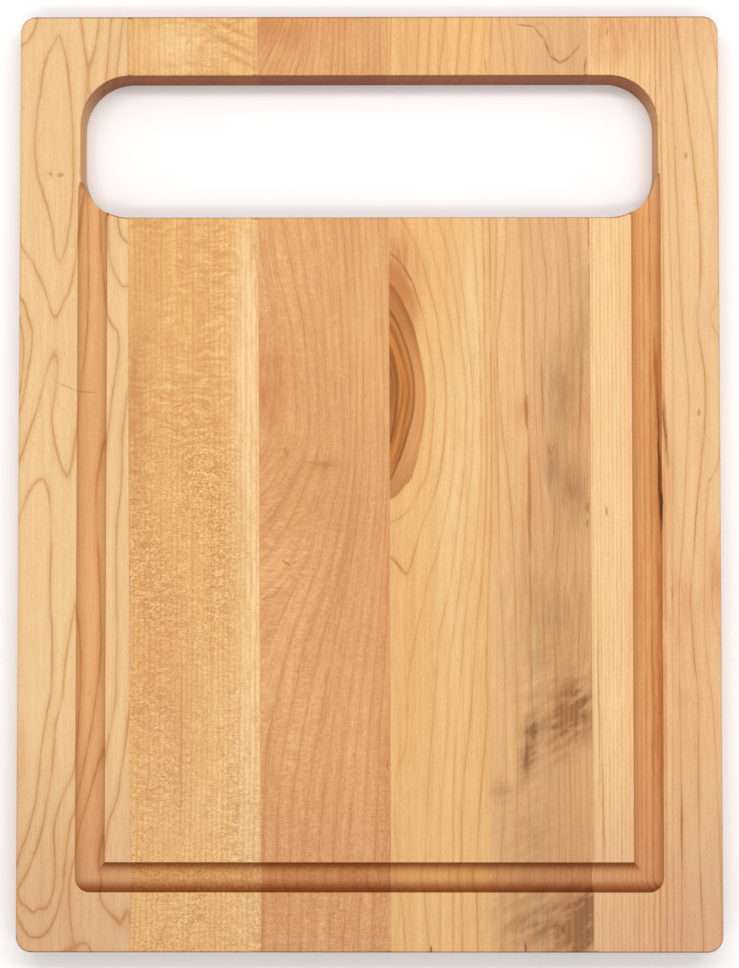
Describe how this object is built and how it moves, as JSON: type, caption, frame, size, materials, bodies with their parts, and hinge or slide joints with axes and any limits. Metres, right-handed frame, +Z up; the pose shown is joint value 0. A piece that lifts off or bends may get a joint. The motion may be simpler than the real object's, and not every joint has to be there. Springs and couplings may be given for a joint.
{
  "type": "cutting board",
  "caption": "Rectangular edge-glued maple cutting board with a wide handle slot and a U-shaped juice groove that runs into it.",
  "frame": {"origin": "centre of the underside, where the board rests on a worktop", "axes": "+Z up out of the working surface, +Y along the board's length towards the handle slot, +X across its width to the right"},
  "size_m": [0.3048, 0.4064, 0.0191],
  "materials": {
    "maple_left_rail": "oiled satin, pale flat-sawn maple with bold growth lines",
    "maple_left_stave": "oiled satin, golden maple with fine grain and curly figure",
    "maple_middle_stave": "oiled satin, pinkish tan heartwood maple",
    "maple_right_stave": "oiled satin, cream maple with a half knot and grey mineral streaks",
    "maple_right_rail": "oiled satin, pale straight-grained maple",
    "cured_glue": "thin amber glue line, sanded flush"
  },
  "bodies": {
    "root": {"left_rail_stave": "maple_left_rail", "handle_bar_left_stave": "maple_left_stave", "handle_bar_middle_stave": "maple_middle_stave", "handle_bar_right_stave": "maple_right_stave", "cutting_surface_left_stave": "maple_left_stave", "cutting_surface_middle_stave": "maple_middle_stave", "cutting_surface_right_stave": "maple_right_stave", "right_rail_stave": "maple_right_rail", "glue_line_1_handle_bar": "cured_glue", "glue_line_2_handle_bar": "cured_glue", "glue_line_3_handle_bar": "cured_glue", "glue_line_4_handle_bar": "cured_glue", "glue_line_1_cutting_surface": "cured_glue", "glue_line_2_cutting_surface": "cured_glue", "glue_line_3_cutting_surface": "cured_glue", "glue_line_4_cutting_surface": "cured_glue"}
  },
  "joints": []
}
